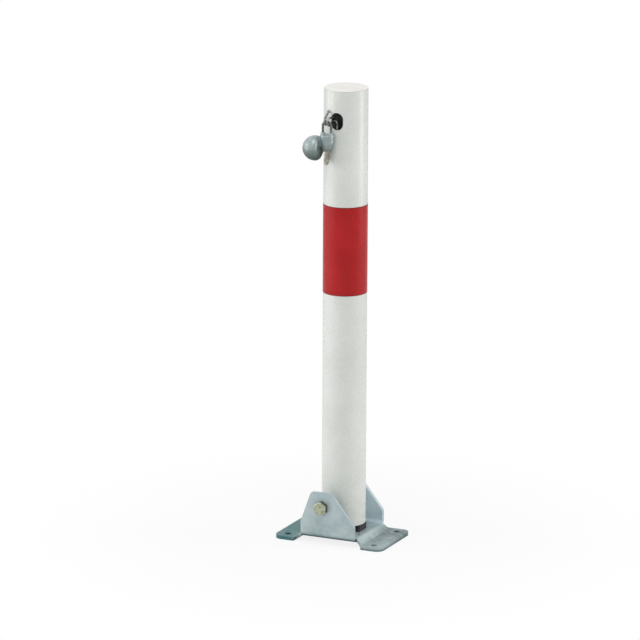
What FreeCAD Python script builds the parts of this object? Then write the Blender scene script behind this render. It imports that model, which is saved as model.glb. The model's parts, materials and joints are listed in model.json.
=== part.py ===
import FreeCAD, Part
import math
import os

# Fold-down bollard: a steel post on a folded bracket. The origin is on the ground under the
# middle of the foot holes, +X runs along the bracket, -Y is the front and +Z is up.

# Bracket, one folded sheet
sheet_t = 5.0
base_length = 160.0
base_width = 100.0
web_lift = 7.5
ear_half_length = 39.7
ear_outer_y = 49.5
ear_top_z = 72.5
ear_knee_z = 29.5
ear_top_left_x = -24.5
ear_top_right_x = 5.5
ear_corner_r = 5.0
bend_inner_r = 3.5
joggle_run = 8.0
joggle_start_x = 41.5
joggle_r = 4.0
foot_corner_r = 11.0
relief_r = 7.0
foot_hole_r = 4.5
foot_hole_from_end = 16.0
foot_hole_from_side = 13.0
foot_hole_pitch_x = base_length - 2 * foot_hole_from_end
foot_hole_pitch_y = base_width - 2 * foot_hole_from_side
drain_hole_r = 2.5
drain_hole_x = 33.5
drain_hole_y = -20.0

# Pivot
pivot_x = -8.5
pivot_z = 51.5
pivot_r = 5.0
running_gap = 0.05
bolt_hole_gap = 0.25
sleeve_wall = 4.0
sleeve_end_gap = 0.4
washer_r = 10.0
washer_t = 2.0
hex_across_flats = 17.0
bolt_head_h = 6.5
hex_flat_inset = 0.4
hex_chamfer_deg = 60.0
nut_h = 10.0
nut_collar_h = 3.0
nut_collar_r = 7.6
nut_insert_h = 2.4
nut_insert_r = 6.4
bolt_past_nut = 2.5
thread_chamfer = 1.0
seat_gap = 0.3
weld_leg = 3.0

# Post
post_x = 2.0
post_r = 30.0
post_wall = 2.0
post_bottom_z = 22.0
post_top_z = 625.8
cap_rim_h = 1.8
cap_lip_h = 0.5
cap_lip_inset = 0.4
cap_top_inset = 5.5
cap_top_r = post_r - cap_top_inset
cap_skirt_h = 16.0
cap_skirt_wall = 2.0
cap_fit_gap = 0.1
cap_rib_t = 1.6
cap_rib_w = 2.0
cap_rib_short = 2.0
cap_rib_count = 6
band_t = 0.25
band_below_top = 158.6
band_h = 122.5
band_top_z = post_top_z - band_below_top
band_bottom_z = band_top_z - band_h
slot_w = 17.5
slot_h = 24.0
slot_below_top = 40.8
slot_z = post_top_z - slot_below_top
cut_over = 5.0

# Buffer that the post leans on
buffer_length = 24.0
buffer_width = 9.0
buffer_out = 1.0
buffer_edge_r = 1.5

# Padlock, seen from the front: body on the left, hood and shackle on the right
lock_x = -8.9
lock_from_post = 7.5
lock_y = -(post_r + lock_from_post)
hood_below_slot = 14.0
hood_top_z = slot_z - hood_below_slot
hood_shoulder_r = 3.0
hood_edge_r = 1.2
hood_w = 18.6
hood_depth = 15.6
hood_waist_drop = 14.0
hood_h = 26.0
hood_waist_z = hood_top_z - hood_waist_drop
hood_bottom_z = hood_top_z - hood_h
hood_bottom_r = 6.0
shoulder_edge = 0.8
neck_depth = 10.9
neck_h = 9.0
body_r = 17.0
body_drop = 22.0
body_z = hood_top_z - body_drop
body_back_x = -16.8
body_straight = 7.5
body_out = 4.0
body_edge_r = 3.0
edge_bulge = 1 - math.sqrt(0.5)
body_tip_r = 1.0
body_chords = 6
shackle_r = 1.6
shackle_half_span = 6.0
shackle_short_leg = 8.0
shackle_long_leg = 11.0
core_r = 4.5
core_h = 12.0
key_t = 2.0
key_blade_w = 5.6
key_blade_h = 10.0
key_neck_h = 3.0
key_bow_r = 8.0
key_neck_extra_w = 2.0
key_hole_share = 0.4
key_neck_sink = key_bow_r * key_hole_share
key_hole_drop = key_bow_r * key_hole_share
key_bow_hole_r = 2.5
keyway_gap = 0.1

# Staple and tie chain
staple_r = 1.6
staple_shift = -1.8
staple_bend_r = 4.0
staple_top_bend_r = 2.4
staple_below_slot = 3.5
staple_above_slot = 13.0
staple_low_z = slot_z - staple_below_slot
staple_high_z = slot_z + staple_above_slot
staple_step_h = 7.5
link_wire_r = 1.5
link_inner_length = 17.0
link_inner_width = 7.0
end_link_pull = 1.5
end_link_drop = 0.5
tie_hook_deg = 25.0
tie_turn_deg = 12.0
bar_chord_deg = 20.0
staple_weld_leg = 1.2

# Places that follow from the sizes above
web_bottom_z = web_lift
web_top_z = web_lift + sheet_t
ear_inner_y = ear_outer_y - sheet_t
bend_outer_r = bend_inner_r + sheet_t
sleeve_r = pivot_r + running_gap + sleeve_wall
bore_r = post_r - post_wall
bend_flat = shackle_half_span * (1 - math.cos(math.radians(bar_chord_deg / 2)))
shackle_hang = shackle_half_span - shackle_r - staple_r - seat_gap - bend_flat
shackle_arc_z = staple_low_z - math.sqrt(shackle_hang ** 2 - staple_shift ** 2)
shackle_top_z = shackle_arc_z + shackle_half_span
staple_x = lock_x + staple_shift
core_bottom_z = hood_bottom_z
link_arc_r = link_inner_width / 2 + link_wire_r
link_arc_offset = link_inner_length / 2 - link_inner_width / 2


def vec(x, y, z):
    return FreeCAD.Vector(x, y, z)


X_AXIS = vec(1, 0, 0)
Y_AXIS = vec(0, 1, 0)
Z_AXIS = vec(0, 0, 1)


def save(shape, node):
    shape.exportStep("parts/" + node + ".step")


def rounded_path(corners, radii):
    """Edges through the corners, with each inner corner turned by an arc."""
    edges = []
    start = corners[0]
    for before, corner, after, radius in zip(corners, corners[1:], corners[2:], radii):
        to_before = (before - corner).normalize()
        to_after = (after - corner).normalize()
        half_angle = to_before.getAngle(to_after) / 2
        reach = radius / math.tan(half_angle)
        bisector = (to_before + to_after).normalize()
        centre = corner + bisector * (radius / math.sin(half_angle))
        arc_start = corner + to_before * reach
        arc_end = corner + to_after * reach
        edges.append(Part.LineSegment(start, arc_start).toShape())
        edges.append(Part.Arc(arc_start, centre - bisector * radius, arc_end).toShape())
        start = arc_end
    edges.append(Part.LineSegment(start, corners[-1]).toShape())
    return edges


def rounded_outline(corners, radii):
    """Closed wire through the corners, each turned by its own radius."""
    first_middle = (corners[0] + corners[-1]) * 0.5
    ring = [first_middle] + corners + [first_middle]
    return Part.Wire(rounded_path(ring, radii))


def chord_points(edges):
    """Ends of the straight runs, and a few points along each arc between them."""
    points = [edges[0].valueAt(edges[0].FirstParameter)]
    for edge in edges:
        count = 1
        if edge.Curve.TypeId != "Part::GeomLine":
            turn = math.degrees(edge.Length / edge.Curve.Radius)
            count = max(2, round(turn / bar_chord_deg))
        step = (edge.LastParameter - edge.FirstParameter) / count
        for number in range(1, count + 1):
            points.append(edge.valueAt(edge.FirstParameter + number * step))
    return points


def round_bar(edges, radius):
    """Round bar along a chain of edges, each bend made of short mitred runs."""
    points = chord_points(edges)
    closed = points[0].distanceToPoint(points[-1]) < radius
    runs = list(zip(points, points[1:]))
    headings = [(end - start).normalize() for start, end in runs]
    pieces = []
    for number, (start, end) in enumerate(runs):
        heading = headings[number]
        has_before = closed or number > 0
        has_after = closed or number < len(runs) - 1
        bar_start = start - heading * radius if has_before else start
        bar_end = end + heading * radius if has_after else end
        piece = Part.makeCylinder(radius, (bar_end - bar_start).Length, bar_start, heading)
        if has_before:
            mitre = (heading + headings[number - 1]).normalize()
            piece = piece.cut(Part.makeCylinder(3 * radius, 3 * radius, start, mitre * -1))
        if has_after:
            mitre = (heading + headings[(number + 1) % len(runs)]).normalize()
            piece = piece.cut(Part.makeCylinder(3 * radius, 3 * radius, end, mitre))
        pieces.append(piece)
    return pieces[0].fuse(pieces[1:]).removeSplitter()


def cylinder_y(radius, y_from, y_to, x, z):
    return Part.makeCylinder(radius, y_to - y_from, vec(x, y_from, z), Y_AXIS)


def hexagon_prism_y(across_flats, y_from, y_to, x, z):
    corner_r = across_flats / math.sqrt(3)
    corners = []
    for step in range(7):
        angle = math.radians(60 * step + 30)
        corners.append(vec(x + corner_r * math.cos(angle), y_from, z + corner_r * math.sin(angle)))
    face = Part.Face(Part.makePolygon(corners))
    return face.extrude(vec(0, y_to - y_from, 0))


def hexagon_chamfer(across_flats, y_flat, y_far, x, z):
    """Cone that turns the corners of a hexagon down towards its flat end."""
    height = abs(y_far - y_flat)
    axis = vec(0, (y_far - y_flat) / height, 0)
    flat_r = across_flats / 2 - hex_flat_inset
    wide_r = flat_r + height * math.tan(math.radians(hex_chamfer_deg))
    return Part.makeCone(flat_r, wide_r, height, vec(x, y_flat, z), axis)


# Bracket

def sheet_profile():
    """Web, joggles and feet seen from the front, as one bent strip."""
    def strip_line(offset):
        joggle_end_x = joggle_start_x + joggle_run
        half = base_length / 2
        right = [vec(0, 0, web_bottom_z + offset), vec(joggle_start_x, 0, web_bottom_z + offset),
                 vec(joggle_end_x, 0, offset), vec(half, 0, offset)]
        return right

    upper = strip_line(sheet_t)
    lower = strip_line(0)
    radii_top = [joggle_r + sheet_t / 2, joggle_r]
    radii_low = [joggle_r, joggle_r + sheet_t / 2]
    top_edges = rounded_path(upper, radii_top)
    low_edges = rounded_path(lower, radii_low)
    end_edge = Part.LineSegment(upper[-1], lower[-1]).toShape()
    middle_edge = Part.LineSegment(lower[0], upper[0]).toShape()
    half_face = Part.Face(Part.Wire(Part.__sortEdges__(top_edges + low_edges + [end_edge, middle_edge])))
    half = half_face.extrude(vec(0, base_width, 0))
    half.translate(vec(0, -base_width / 2, 0))
    return half.fuse(half.mirror(vec(0, 0, 0), X_AXIS)).removeSplitter()


def plan_outline():
    """Outline of the strip from above: full-width feet and a web as narrow as the ear bends."""
    half_l = base_length / 2
    half_w = base_width / 2
    neck_y = ear_outer_y - bend_outer_r
    neck_x = ear_half_length
    foot_x = joggle_start_x + joggle_run
    corners = []
    radii = []
    for side_x, side_y in ((1, 1), (-1, 1), (-1, -1), (1, -1)):
        run = [(vec(side_x * half_l, side_y * half_w, 0), foot_corner_r),
               (vec(side_x * foot_x, side_y * half_w, 0), 0.6),
               (vec(side_x * neck_x, side_y * neck_y, 0), 1.5)]
        if side_x * side_y < 0:
            run.reverse()
        for corner, radius in run:
            corners.append(corner)
            radii.append(radius)
    face = Part.Face(rounded_outline(corners, radii))
    return face.extrude(vec(0, 0, web_top_z + 1))


def foot_reliefs():
    """Concave curves between the ears and the feet."""
    reliefs = []
    for side_x in (1, -1):
        for side_y in (1, -1):
            centre = vec(side_x * (joggle_start_x + joggle_run - relief_r), side_y * base_width / 2, -1)
            reliefs.append(Part.makeCylinder(relief_r, web_top_z + 2, centre))
    return reliefs


def ear_channel():
    """Web and both ears seen from the end, as one U-shaped bend."""
    top = ear_top_z + 1
    outer = [vec(0, -ear_outer_y, top), vec(0, -ear_outer_y, web_bottom_z),
             vec(0, ear_outer_y, web_bottom_z), vec(0, ear_outer_y, top)]
    inner = [vec(0, -ear_inner_y, top), vec(0, -ear_inner_y, web_top_z),
             vec(0, ear_inner_y, web_top_z), vec(0, ear_inner_y, top)]
    edges = rounded_path(outer, [bend_outer_r, bend_outer_r])
    edges += rounded_path(inner, [bend_inner_r, bend_inner_r])
    edges.append(Part.LineSegment(outer[0], inner[0]).toShape())
    edges.append(Part.LineSegment(outer[-1], inner[-1]).toShape())
    face = Part.Face(Part.Wire(Part.__sortEdges__(edges)))
    channel = face.extrude(vec(2 * ear_half_length, 0, 0))
    channel.translate(vec(-ear_half_length, 0, 0))
    return channel


def ear_outline():
    """Outline of an ear from the front, with its sloping shoulders."""
    corners = [vec(-ear_half_length, 0, 0), vec(-ear_half_length, 0, ear_knee_z),
               vec(ear_top_left_x, 0, ear_top_z), vec(ear_top_right_x, 0, ear_top_z),
               vec(ear_half_length, 0, ear_knee_z), vec(ear_half_length, 0, 0)]
    edges = rounded_path(corners, [ear_corner_r * 0.6, ear_corner_r, ear_corner_r, ear_corner_r])
    edges.append(Part.LineSegment(corners[-1], corners[0]).toShape())
    face = Part.Face(Part.Wire(edges))
    solid = face.extrude(vec(0, 2 * base_width, 0))
    solid.translate(vec(0, -base_width, 0))
    return solid


def make_bracket():
    strip = sheet_profile().common(plan_outline())
    strip = strip.cut(foot_reliefs())
    ears = ear_channel().common(ear_outline())
    bracket = strip.fuse(ears).removeSplitter()
    holes = [cylinder_y(pivot_r + bolt_hole_gap, -base_width, base_width, pivot_x, pivot_z)]
    for side_x in (1, -1):
        for side_y in (1, -1):
            place = vec(side_x * foot_hole_pitch_x / 2, side_y * foot_hole_pitch_y / 2, -1)
            holes.append(Part.makeCylinder(foot_hole_r, sheet_t + 2, place))
    drain_foot = vec(drain_hole_x, drain_hole_y, web_bottom_z - 1)
    holes.append(Part.makeCylinder(drain_hole_r, web_top_z, drain_foot))
    return bracket.cut(holes)


# Pivot pieces

head_seat_y = -ear_outer_y
nut_seat_y = ear_outer_y + washer_t
insert_y = nut_seat_y + nut_h - nut_collar_h


def make_pivot_bolt():
    shank = cylinder_y(pivot_r, head_seat_y, nut_seat_y + nut_h + bolt_past_nut, pivot_x, pivot_z)
    end_edges = [edge for edge in shank.Edges if edge.BoundBox.YMin > nut_seat_y + nut_h]
    shank = shank.makeChamfer(thread_chamfer, end_edges)
    head = hexagon_prism_y(hex_across_flats, head_seat_y - bolt_head_h, head_seat_y, pivot_x, pivot_z)
    cone = hexagon_chamfer(hex_across_flats, head_seat_y - bolt_head_h, head_seat_y, pivot_x, pivot_z)
    return head.common(cone).fuse(shank).removeSplitter()


def make_nut():
    hex_h = nut_h - nut_collar_h
    body = hexagon_prism_y(hex_across_flats, nut_seat_y, nut_seat_y + hex_h, pivot_x, pivot_z)
    cone = hexagon_chamfer(hex_across_flats, nut_seat_y + hex_h, nut_seat_y, pivot_x, pivot_z)
    collar = cylinder_y(nut_collar_r, nut_seat_y, nut_seat_y + nut_h, pivot_x, pivot_z)
    far_edges = [edge for edge in collar.Edges if edge.BoundBox.YMin > nut_seat_y + hex_h]
    collar = collar.makeChamfer(thread_chamfer, far_edges)
    bore = cylinder_y(pivot_r, nut_seat_y - 1, nut_seat_y + nut_h + 1, pivot_x, pivot_z)
    groove = cylinder_y(nut_insert_r, insert_y, insert_y + nut_insert_h, pivot_x, pivot_z)
    return body.common(cone).fuse(collar).cut([bore, groove]).removeSplitter()


def make_nut_insert():
    """Nylon ring in the nut's collar, which grips the thread."""
    ring = cylinder_y(nut_insert_r, insert_y, insert_y + nut_insert_h, pivot_x, pivot_z)
    return ring.cut(cylinder_y(pivot_r, insert_y - 1, insert_y + nut_insert_h + 1, pivot_x, pivot_z))


def make_washer():
    disc = cylinder_y(washer_r, ear_outer_y, nut_seat_y, pivot_x, pivot_z)
    return disc.cut(cylinder_y(pivot_r + bolt_hole_gap, ear_outer_y - 1, nut_seat_y + 1, pivot_x, pivot_z))


def make_sleeve():
    half = ear_inner_y - sleeve_end_gap
    tube = cylinder_y(sleeve_r, -half, half, pivot_x, pivot_z)
    return tube.cut(cylinder_y(pivot_r + running_gap, -half - 1, half + 1, pivot_x, pivot_z))


def make_sleeve_weld(side):
    """Weld seam round the sleeve on one side, laid in the corner with the post."""
    seam_r = sleeve_r + weld_leg
    post = Part.makeCylinder(post_r, 2 * seam_r, vec(post_x, 0, pivot_z - seam_r))
    foot_y = math.sqrt(post_r ** 2 - (post_x - pivot_x) ** 2)
    outward = vec(0, side, 0)
    cone = Part.makeCone(seam_r, sleeve_r, weld_leg, vec(pivot_x, side * foot_y, pivot_z), outward)
    root = Part.makeCylinder(seam_r, foot_y, vec(pivot_x, 0, pivot_z), outward)
    sleeve = cylinder_y(sleeve_r, -base_width, base_width, pivot_x, pivot_z)
    return cone.fuse(root).cut([post, sleeve]).removeSplitter()


# Post pieces

def slot_cutter():
    """Upright slot with round ends through the front wall."""
    straight = slot_h - slot_w
    front_y = -post_r - cut_over
    corner = vec(post_x - slot_w / 2, front_y, slot_z - straight / 2)
    box = Part.makeBox(slot_w, -front_y, straight, corner)
    ends = [cylinder_y(slot_w / 2, front_y, 0, post_x, slot_z + side * straight / 2) for side in (1, -1)]
    return box.fuse(ends)


def make_post():
    height = post_top_z - post_bottom_z
    tube = Part.makeCylinder(post_r, height, vec(post_x, 0, post_bottom_z))
    bore = Part.makeCylinder(bore_r, height + 2, vec(post_x, 0, post_bottom_z - 1))
    cross_hole = cylinder_y(sleeve_r, -post_r - 1, post_r + 1, pivot_x, pivot_z)
    return tube.cut([bore, slot_cutter(), cross_hole])


def make_cap():
    """Plug cap: a sloping crown on the tube, a skirt in the bore and a few gripping ribs."""
    lip_r = post_r - cap_lip_inset
    lip = Part.makeCylinder(lip_r, cap_lip_h, vec(post_x, 0, post_top_z))
    crown = Part.makeCone(lip_r, cap_top_r, cap_rim_h - cap_lip_h, vec(post_x, 0, post_top_z + cap_lip_h))
    rim = lip.fuse(crown)
    skirt_r = bore_r - cap_rib_t
    skirt_foot = vec(post_x, 0, post_top_z - cap_skirt_h)
    skirt = Part.makeCylinder(skirt_r, cap_skirt_h, skirt_foot)
    hollow = Part.makeCylinder(skirt_r - cap_skirt_wall, cap_skirt_h, skirt_foot)
    ribs = []
    for step in range(cap_rib_count):
        rib_depth = cap_rib_t - cap_fit_gap + cap_skirt_wall / 2
        rib_corner = vec(-cap_rib_w / 2, skirt_r - cap_skirt_wall / 2, 0)
        rib = Part.makeBox(cap_rib_w, rib_depth, cap_skirt_h - cap_rib_short, rib_corner)
        rib.translate(vec(post_x, 0, post_top_z - cap_skirt_h + cap_rib_short))
        rib.rotate(vec(post_x, 0, 0), Z_AXIS, 360 * (step + 0.5) / cap_rib_count)
        ribs.append(rib)
    return rim.fuse([skirt.cut(hollow)] + ribs).removeSplitter()


def make_band():
    height = band_top_z - band_bottom_z
    outer = Part.makeCylinder(post_r + band_t, height, vec(post_x, 0, band_bottom_z))
    return outer.cut(Part.makeCylinder(post_r + running_gap, height, vec(post_x, 0, band_bottom_z)))


def make_buffer():
    """Rubber block on the web, under the edge of the post on its side away from the pivot."""
    height = post_bottom_z - seat_gap - web_top_z
    right = post_x + post_r - buffer_out
    corner = vec(right - buffer_width, -buffer_length / 2, web_top_z)
    block = Part.makeBox(buffer_width, buffer_length, height, corner)
    upright = [edge for edge in block.Edges if edge.BoundBox.ZLength > height / 2]
    return block.makeFillet(buffer_edge_r, upright)


def make_staple():
    """Bent round bar welded to the post, leaning out at its lower end for the shackle."""
    root_y = -math.sqrt(post_r ** 2 - (staple_x - post_x) ** 2)
    out_y = lock_y - shackle_r - seat_gap - staple_r
    inside_y = root_y + 2 * staple_r
    corners = [vec(staple_x, inside_y, staple_high_z), vec(staple_x, root_y - staple_r, staple_high_z),
               vec(staple_x, out_y, staple_low_z + staple_step_h), vec(staple_x, out_y, staple_low_z),
               vec(staple_x, inside_y, staple_low_z)]
    bar = round_bar(rounded_path(corners, [staple_top_bend_r, staple_bend_r, staple_bend_r]), staple_r)
    post = Part.makeCylinder(post_r, post_top_z, vec(post_x, 0, 0))
    return bar.cut(post)


def make_staple_welds():
    """Small weld seams round the two feet of the staple."""
    root_y = -math.sqrt(post_r ** 2 - (staple_x - post_x) ** 2)
    seam_r = staple_r + staple_weld_leg
    post = Part.makeCylinder(post_r, post_top_z, vec(post_x, 0, 0))
    seams = []
    for foot_z in (staple_low_z, staple_high_z):
        root = cylinder_y(seam_r, root_y, root_y + staple_r, staple_x, foot_z)
        cone = Part.makeCone(seam_r, staple_r, staple_weld_leg, vec(staple_x, root_y, foot_z), vec(0, -1, 0))
        seams.append(cone.fuse(root).cut([post, make_staple()]).removeSplitter())
    return Part.makeCompound([solid for seam in seams for solid in seam.Solids])


def chain_link():
    """One link about the origin, its long way along X and its short way along Z."""
    half = link_arc_offset
    r = link_arc_r
    low_left = vec(-half, 0, -r)
    low_right = vec(half, 0, -r)
    top_right = vec(half, 0, r)
    top_left = vec(-half, 0, r)
    edges = [Part.LineSegment(low_left, low_right).toShape(),
             Part.Arc(low_right, vec(half + r, 0, 0), top_right).toShape(),
             Part.LineSegment(top_right, top_left).toShape(),
             Part.Arc(top_left, vec(-half - r, 0, 0), low_left).toShape()]
    return round_bar(edges, link_wire_r)


hook_x = lock_x + shackle_half_span * math.sin(math.radians(tie_hook_deg))
hook_z = shackle_arc_z + shackle_half_span * math.cos(math.radians(tie_hook_deg))
hook_slack = link_inner_width / 2 - shackle_r - seat_gap - bend_flat
tie_turn = math.radians(tie_turn_deg)
tie_inward_x = math.sin(tie_turn)
tie_inward_y = math.cos(tie_turn)
tie_reach = link_arc_offset + hook_slack
tie_centre_x = hook_x + tie_reach * tie_inward_x
tie_centre_y = lock_y + tie_reach * tie_inward_y
tie_inner_x = tie_centre_x + (link_arc_offset + end_link_pull) * tie_inward_x
tie_inner_y = tie_centre_y + (link_arc_offset + end_link_pull) * tie_inward_y


def make_tie_link():
    """Link that comes out of the slot and holds the shackle."""
    link = chain_link()
    link.rotate(vec(0, 0, 0), Z_AXIS, 90 - tie_turn_deg)
    link.translate(vec(tie_centre_x, tie_centre_y, hook_z))
    return link


def make_end_link():
    """Link inside the post that hangs from the link in the slot."""
    link = chain_link()
    link.rotate(vec(0, 0, 0), Y_AXIS, 90)
    link.rotate(vec(0, 0, 0), Z_AXIS, -tie_turn_deg)
    link.translate(vec(tie_inner_x, tie_inner_y, hook_z - end_link_drop - link_arc_offset - link_arc_r))
    return link


# Padlock pieces

def lock_body_round():
    """Half-round case turned about a level axis: a short drum, a ball end and a small flat at its tip."""
    y = lock_y - body_out
    ball_x = body_back_x - body_straight
    tip_angle = math.asin(body_tip_r / body_r)
    tip_x = ball_x - body_r * math.cos(tip_angle)
    edge = body_edge_r
    points = [vec(body_back_x, y, body_z), vec(body_back_x, y, body_z + body_r - edge),
              vec(body_back_x - edge * edge_bulge, y, body_z + body_r - edge * edge_bulge),
              vec(body_back_x - edge, y, body_z + body_r)]
    for number in range(body_chords + 1):
        angle = (math.pi / 2 - tip_angle) * number / body_chords
        points.append(vec(ball_x - body_r * math.sin(angle), y, body_z + body_r * math.cos(angle)))
    points.append(vec(tip_x, y, body_z))
    profile = Part.makePolygon(points + [points[0]])
    return Part.Face(profile).revolve(vec(0, y, body_z), X_AXIS, 360)


def stadium(half_line, radius, z):
    """Level outline with round ends, as a wire."""
    left = lock_x - half_line
    right = lock_x + half_line
    front = lock_y - radius
    back = lock_y + radius
    return Part.Wire([
        Part.LineSegment(vec(left, front, z), vec(right, front, z)).toShape(),
        Part.Arc(vec(right, front, z), vec(right + radius, lock_y, z), vec(right, back, z)).toShape(),
        Part.LineSegment(vec(right, back, z), vec(left, back, z)).toShape(),
        Part.Arc(vec(left, back, z), vec(left - radius, lock_y, z), vec(left, front, z)).toShape()])


def lock_hood():
    """Hood round the shackle legs: two round shoulders that run down into the key boss."""
    half_line = hood_w / 2 - hood_depth / 2
    top_z = hood_top_z - hood_shoulder_r
    waist_outline = Part.Face(stadium(half_line, hood_depth / 2, hood_waist_z))
    waist = waist_outline.extrude(vec(0, 0, top_z - hood_waist_z))
    top_edges = [edge for edge in waist.Edges if edge.BoundBox.ZMin > top_z - 0.01]
    waist = waist.makeChamfer(hood_edge_r, top_edges)
    taper = Part.makeLoft([stadium(half_line, hood_bottom_r - half_line, hood_bottom_z),
                           stadium(half_line, hood_depth / 2, hood_waist_z)], True, True)
    solids = [waist, taper]
    for side in (1, -1):
        leg = vec(lock_x + side * shackle_half_span, lock_y, hood_waist_z)
        shoulder = Part.makeCylinder(hood_shoulder_r, hood_top_z - hood_waist_z, leg)
        rim = [edge for edge in shoulder.Edges if edge.BoundBox.ZMin > hood_top_z - 0.01]
        solids.append(shoulder.makeChamfer(shoulder_edge, rim))
    neck_start = vec(body_back_x - body_edge_r, lock_y - neck_depth / 2, hood_waist_z - neck_h / 2)
    neck = Part.makeBox(lock_x - body_back_x, neck_depth, neck_h, neck_start)
    solids.append(neck)
    return solids[0].fuse(solids[1:]).removeSplitter()


def make_lock_body():
    body = lock_body_round().fuse(lock_hood()).removeSplitter()
    leg_hole_r = shackle_r + running_gap
    holes = [Part.makeCylinder(core_r + running_gap, core_h + 1, vec(lock_x, lock_y, core_bottom_z - 1))]
    for side, depth in ((-1, shackle_short_leg), (1, shackle_long_leg)):
        depth = depth + seat_gap
        foot = vec(lock_x + side * shackle_half_span, lock_y, hood_top_z - depth)
        holes.append(Part.makeCylinder(leg_hole_r, depth + 1, foot))
    return body.cut(holes)


def make_shackle():
    left = lock_x - shackle_half_span
    right = lock_x + shackle_half_span
    short_z = hood_top_z - shackle_short_leg
    long_z = hood_top_z - shackle_long_leg
    edges = [Part.LineSegment(vec(left, lock_y, short_z), vec(left, lock_y, shackle_arc_z)).toShape(),
             Part.Arc(vec(left, lock_y, shackle_arc_z), vec(lock_x, lock_y, shackle_top_z),
                      vec(right, lock_y, shackle_arc_z)).toShape(),
             Part.LineSegment(vec(right, lock_y, shackle_arc_z), vec(right, lock_y, long_z)).toShape()]
    return round_bar(edges, shackle_r)


def key_blade_shape(gap):
    """Flat blade that stands in the keyway."""
    width = key_blade_w + 2 * gap
    thick = key_t + 2 * gap
    return Part.makeBox(thick, width, key_blade_h + gap,
                        vec(lock_x - thick / 2, lock_y - width / 2, core_bottom_z))


def make_core():
    core = Part.makeCylinder(core_r, core_h - seat_gap, vec(lock_x, lock_y, core_bottom_z))
    return core.cut(key_blade_shape(keyway_gap))


def make_key():
    """Key with its blade in the core and its round bow hanging below."""
    blade = key_blade_shape(0)
    bow_z = core_bottom_z - key_neck_h - key_bow_r
    bow = Part.makeCylinder(key_bow_r, key_t, vec(lock_x - key_t / 2, lock_y, bow_z), X_AXIS)
    neck_w = key_blade_w + key_neck_extra_w
    neck_low_z = core_bottom_z - key_neck_h - key_neck_sink
    neck_corner = vec(lock_x - key_t / 2, lock_y - neck_w / 2, neck_low_z)
    neck = Part.makeBox(key_t, neck_w, key_neck_h + key_neck_sink, neck_corner)
    hole_side = vec(lock_x - key_t, lock_y, bow_z - key_hole_drop)
    hole = Part.makeCylinder(key_bow_hole_r, 2 * key_t, hole_side, X_AXIS)
    gap = Part.makeBox(key_t, neck_w, seat_gap,
                       vec(lock_x - key_t / 2, lock_y - neck_w / 2, core_bottom_z - seat_gap))
    stem = Part.makeBox(key_t, key_blade_w, seat_gap,
                        vec(lock_x - key_t / 2, lock_y - key_blade_w / 2, core_bottom_z - seat_gap))
    return bow.fuse([neck.cut(gap), stem, blade]).cut(hole).removeSplitter()


os.makedirs("parts", exist_ok=True)
save(make_bracket(), "base_bracket")
save(make_pivot_bolt(), "pivot_bolt")
save(make_washer(), "nut_washer")
save(make_nut(), "pivot_nut")
save(make_nut_insert(), "nut_insert")
save(make_buffer(), "stop_buffer")
save(make_post(), "post_tube")
save(make_sleeve(), "pivot_sleeve")
save(make_sleeve_weld(-1), "front_sleeve_weld")
save(make_sleeve_weld(1), "back_sleeve_weld")
save(make_cap(), "post_cap")
save(make_band(), "reflective_band")
save(make_staple(), "lock_staple")
save(make_staple_welds(), "staple_welds")
save(make_tie_link(), "tie_link")
save(make_end_link(), "tie_end_link")
save(make_shackle(), "lock_shackle")
save(make_lock_body(), "lock_body")
save(make_core(), "lock_core")
save(make_key(), "lock_key")
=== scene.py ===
import json
import math

import bmesh
import bpy
from mathutils import Matrix, Vector


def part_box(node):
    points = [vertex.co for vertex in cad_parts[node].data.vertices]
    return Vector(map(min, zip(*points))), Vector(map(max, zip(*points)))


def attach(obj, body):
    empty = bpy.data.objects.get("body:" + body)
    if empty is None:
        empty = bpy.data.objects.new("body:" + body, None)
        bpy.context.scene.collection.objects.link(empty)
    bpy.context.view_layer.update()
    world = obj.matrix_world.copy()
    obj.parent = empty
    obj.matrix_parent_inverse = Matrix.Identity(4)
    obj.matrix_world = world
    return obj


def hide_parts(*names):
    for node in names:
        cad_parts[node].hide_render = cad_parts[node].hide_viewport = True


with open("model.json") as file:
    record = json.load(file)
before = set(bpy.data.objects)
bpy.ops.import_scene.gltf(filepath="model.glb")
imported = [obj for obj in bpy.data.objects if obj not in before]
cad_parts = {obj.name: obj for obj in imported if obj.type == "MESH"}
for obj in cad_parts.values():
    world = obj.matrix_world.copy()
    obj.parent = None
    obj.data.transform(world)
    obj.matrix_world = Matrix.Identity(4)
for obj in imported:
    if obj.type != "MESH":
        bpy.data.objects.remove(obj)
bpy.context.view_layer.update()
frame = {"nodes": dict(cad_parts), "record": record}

MM = 0.001

# Camera, fitted to the photograph: the turn and rise of the view, and where it aims
view_turn_deg = 24.71
view_rise_deg = 14.66
view_roll_deg = 0.28
camera_distance = 9.0
camera_lens_mm = 375.0
aim_height = 0.320
aim_left = 0.0317
aim_below = 0.0156

# Light: the strength that the world gives, and the strength that counts as white
world_level = 0.50
white_level = 1.0
floor_half_size = 12.0
floor_lift = 0.84
floor_fade_start = 0.15
floor_fade_end = 0.50

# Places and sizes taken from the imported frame
cap_low, cap_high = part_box("post_cap")
post_low, post_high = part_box("post_tube")
band_low, band_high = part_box("reflective_band")
sleeve_low, sleeve_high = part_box("pivot_sleeve")
bolt_low, bolt_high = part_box("pivot_bolt")
nut_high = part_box("pivot_nut")[1]
staple_low, staple_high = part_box("lock_staple")
shackle_low, shackle_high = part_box("lock_shackle")
body_low, body_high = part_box("lock_body")
core_low, core_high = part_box("lock_core")

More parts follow.
